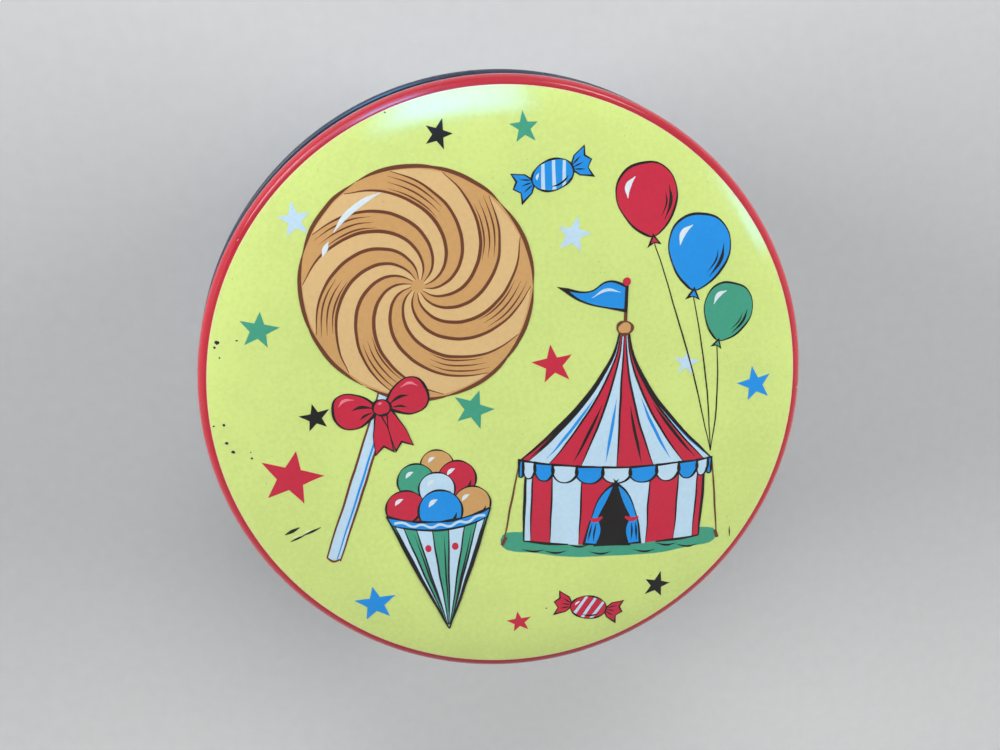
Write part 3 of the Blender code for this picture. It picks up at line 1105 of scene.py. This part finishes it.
def wear(picture):
    """Ragged chips down to dark steel, each with a thin pale broken edge, and the deeper scratches, with
    painted glints of bare metal beside them.
    """
    hand = random.Random(5)
    for x, y, size in CHIPS:
        stretch, turn = hand.uniform(0.6, 0.95), hand.uniform(-70, 30)
        flake = []
        for u, v in ring(steps=11):
            flake.append((hand.uniform(0.7, 1.2) * u, stretch * hand.uniform(0.7, 1.2) * v))
        edge = Motif(picture, x + CHIP_EDGE_SHIFT[0], y + CHIP_EDGE_SHIFT[1], CHIP_EDGE_SHARE * size, turn)
        edge.fill("chip_edge_and_glint", WEAR_LEVEL, flake, True)
        Motif(picture, x, y, size, turn).fill("chip", WEAR_LEVEL + 1, flake)
    for ink, start, end, thick in SCRATCHES:
        picture.brush(ink, WEAR_LEVEL + 1, [start, end], thick, 0.3)


def print_lid():
    """Draws the lid's picture and lays it down, ink by ink."""
    noise.seed_set(WOBBLE_SEED)
    picture = Picture()
    lollipop(Motif(picture, -22, 26, 26))
    tent(Motif(picture, 26, -36, 24))
    paper_cone(Motif(picture, -17, -28, 12.5, 5))
    tie = (49.5, -13.5)
    balloon(Motif(picture, 30, 46.5, 7.8, 12), "red", tie)
    balloon(Motif(picture, 51, 21, 6.6, -14), "green", tie)
    balloon(Motif(picture, 43, 35, 8.2, -4), "blue", tie)
    wrapped_sweet(Motif(picture, 8, 51, 7.6, 22), "blue")
    wrapped_sweet(Motif(picture, 21, -55, 7.4, -12), "red")
    for ink, *place in STARS:
        star(Motif(picture, *place), ink)
    wear(picture)
    for ink, (colour, slip) in INKS.items():
        picture.lay(ink, varnished("ink_" + ink, colour), slip)
    # The chips' pale broken edges, and the painted glints by the scratches
    picture.lay("chip_edge_and_glint", varnished("chip_edge_and_glint", CHIP_EDGE_AND_GLINT_PALE, 0.4))
    picture.lay("chip", worn_steel("chip_steel", CHIP_STEEL))
    picture.clear()


def softbox(name, azimuth, elevation, wide, high, brightness, colour, gleams):
    """A glowing panel with soft edges, its place and size in degrees as the tin sees it.

    The azimuth runs from +X to +Y. A panel either gleams in what is glossy, or lights everything softly.
    """
    form = bmesh.new()
    bmesh.ops.create_grid(form, x_segments=1, y_segments=1, size=0.5)
    panel = Finish(name + "_glow", Base_Color=BLACK, Roughness=1.0, Emission_Strength=brightness)
    across = panel.math_of("ABSOLUTE", panel.axis("X"))
    along = panel.math_of("ABSOLUTE", panel.axis("Y"))
    soft_from = 0.5 - (GLEAM_FADE if gleams else SOFTBOX_FADE)
    fade = across.between(0.5, soft_from) * along.between(0.5, soft_from)
    panel.set(Emission_Color=panel.mix(fade, BLACK, colour))
    box = new_piece(name, form, [panel])
    turn, lift = math.radians(azimuth), math.radians(elevation)
    way = Vector((math.cos(turn) * math.cos(lift), math.sin(turn) * math.cos(lift), math.sin(lift)))
    box.location = way * LIGHT_DISTANCE + Vector((0, 0, TIN_HEIGHT))
    box.rotation_euler = way.to_track_quat("Z", "Y").to_euler()
    sides = [2 * LIGHT_DISTANCE * math.tan(math.radians(span / 2)) for span in (wide, high)]
    box.scale = (*sides, 1)
    box.visible_camera = False
    box.visible_glossy = gleams
    box.visible_diffuse = not gleams


# Name, azimuth, elevation, width and height in degrees, brightness, colour, and whether it gleams
SOFTBOXES = (
    ("top_fill", 102, 24, 80, 28, 6.3, SOFT_WHITE, False),
    ("left_fill", 177, 13, 50, 18, 23.5, SOFT_WHITE, False),
    ("right_fill", 10, 13, 50, 18, 21.0, SOFT_WHITE, False),
    ("high_gleam", 96, 57, 28, 19, 15.0, WINDOW_BLUE, True),
    ("window_gleam", 114, 34, 20, 22, 15.0, WINDOW_BLUE, True),
    ("side_gleam", 21, 42, 18, 9, 8.0, WINDOW_BLUE, True),
    ("sky_gleam", 126, 21, 66, 32, 2.6, PALE_SKY, True),
    ("left_gleam", 141, 15, 36, 8, 10.0, SOFT_WHITE, True),
    ("right_gleam", 66, 15, 26, 8, 10.0, SOFT_WHITE, True),
)


def light_the_scene():
    for box in SOFTBOXES:
        softbox(*box)
    world = bpy.data.worlds.new("room")
    world.use_nodes = True
    room = Nodes(world.node_tree)
    strengths = {"Value": room.shows_backdrop(), "To Min": ROOM_LIGHT, "To Max": BACKDROP_LIGHT}
    background = room.tree.nodes["Background"]
    room.feed(background.inputs["Strength"], room.node("ShaderNodeMapRange", None, strengths))
    room.feed(background.inputs["Color"], BACKDROP_WHITE)
    bpy.context.scene.world = world
    bpy.context.scene.view_settings.view_transform = "Standard"


def lay_floor():
    """A pale floor that keeps the tin's shadow near it and fades into the backdrop farther out."""
    form = bmesh.new()
    bmesh.ops.create_circle(form, cap_ends=True, segments=64, radius=FLOOR_RADIUS)
    finish = Finish("pale_floor", Roughness=0.7)
    cloth = finish.noise(0.004, 3)
    finish.set(Base_Color=finish.mix(cloth, *FLOOR_GREYS))
    far = finish.radius().between(*FLOOR_FADES) * finish.shows_backdrop()
    backdrop = {"Color": BACKDROP_WHITE, "Strength": BACKDROP_LIGHT}
    glow = finish.node("ShaderNodeEmission", None, backdrop)
    lit = Channel(finish, finish.shader.outputs[0])
    faded = finish.node("ShaderNodeMixShader", None, {0: far, 1: lit, 2: glow})
    finish.feed(finish.tree.nodes["Material Output"].inputs["Surface"], faded)
    floor = new_piece("floor", form, [finish])


def set_camera():
    lens = bpy.data.cameras.new("camera")
    lens.lens = CAMERA_LENS
    lens.sensor_width = CAMERA_SENSOR
    lens.clip_start = NEAREST_SEEN
    camera = bpy.data.objects.new("camera", lens)
    view = CAMERA_VIEW.normalized()
    right = view.cross(CAMERA_UP).normalized()
    up = right.cross(view)
    axes = Matrix((right, up, -view)).transposed().to_4x4()
    camera.matrix_world = Matrix.Translation(CAMERA_PLACE) @ axes
    bpy.context.scene.collection.objects.link(camera)
    bpy.context.scene.camera = camera


set_camera()
light_the_scene()
lay_floor()
bare_inside = tinplate("inside_tinplate", 0.26)
make_lid(bare_inside)
make_wall(bare_inside)
make_side_seam(bare_inside)
make_base(bare_inside)
print_lid()
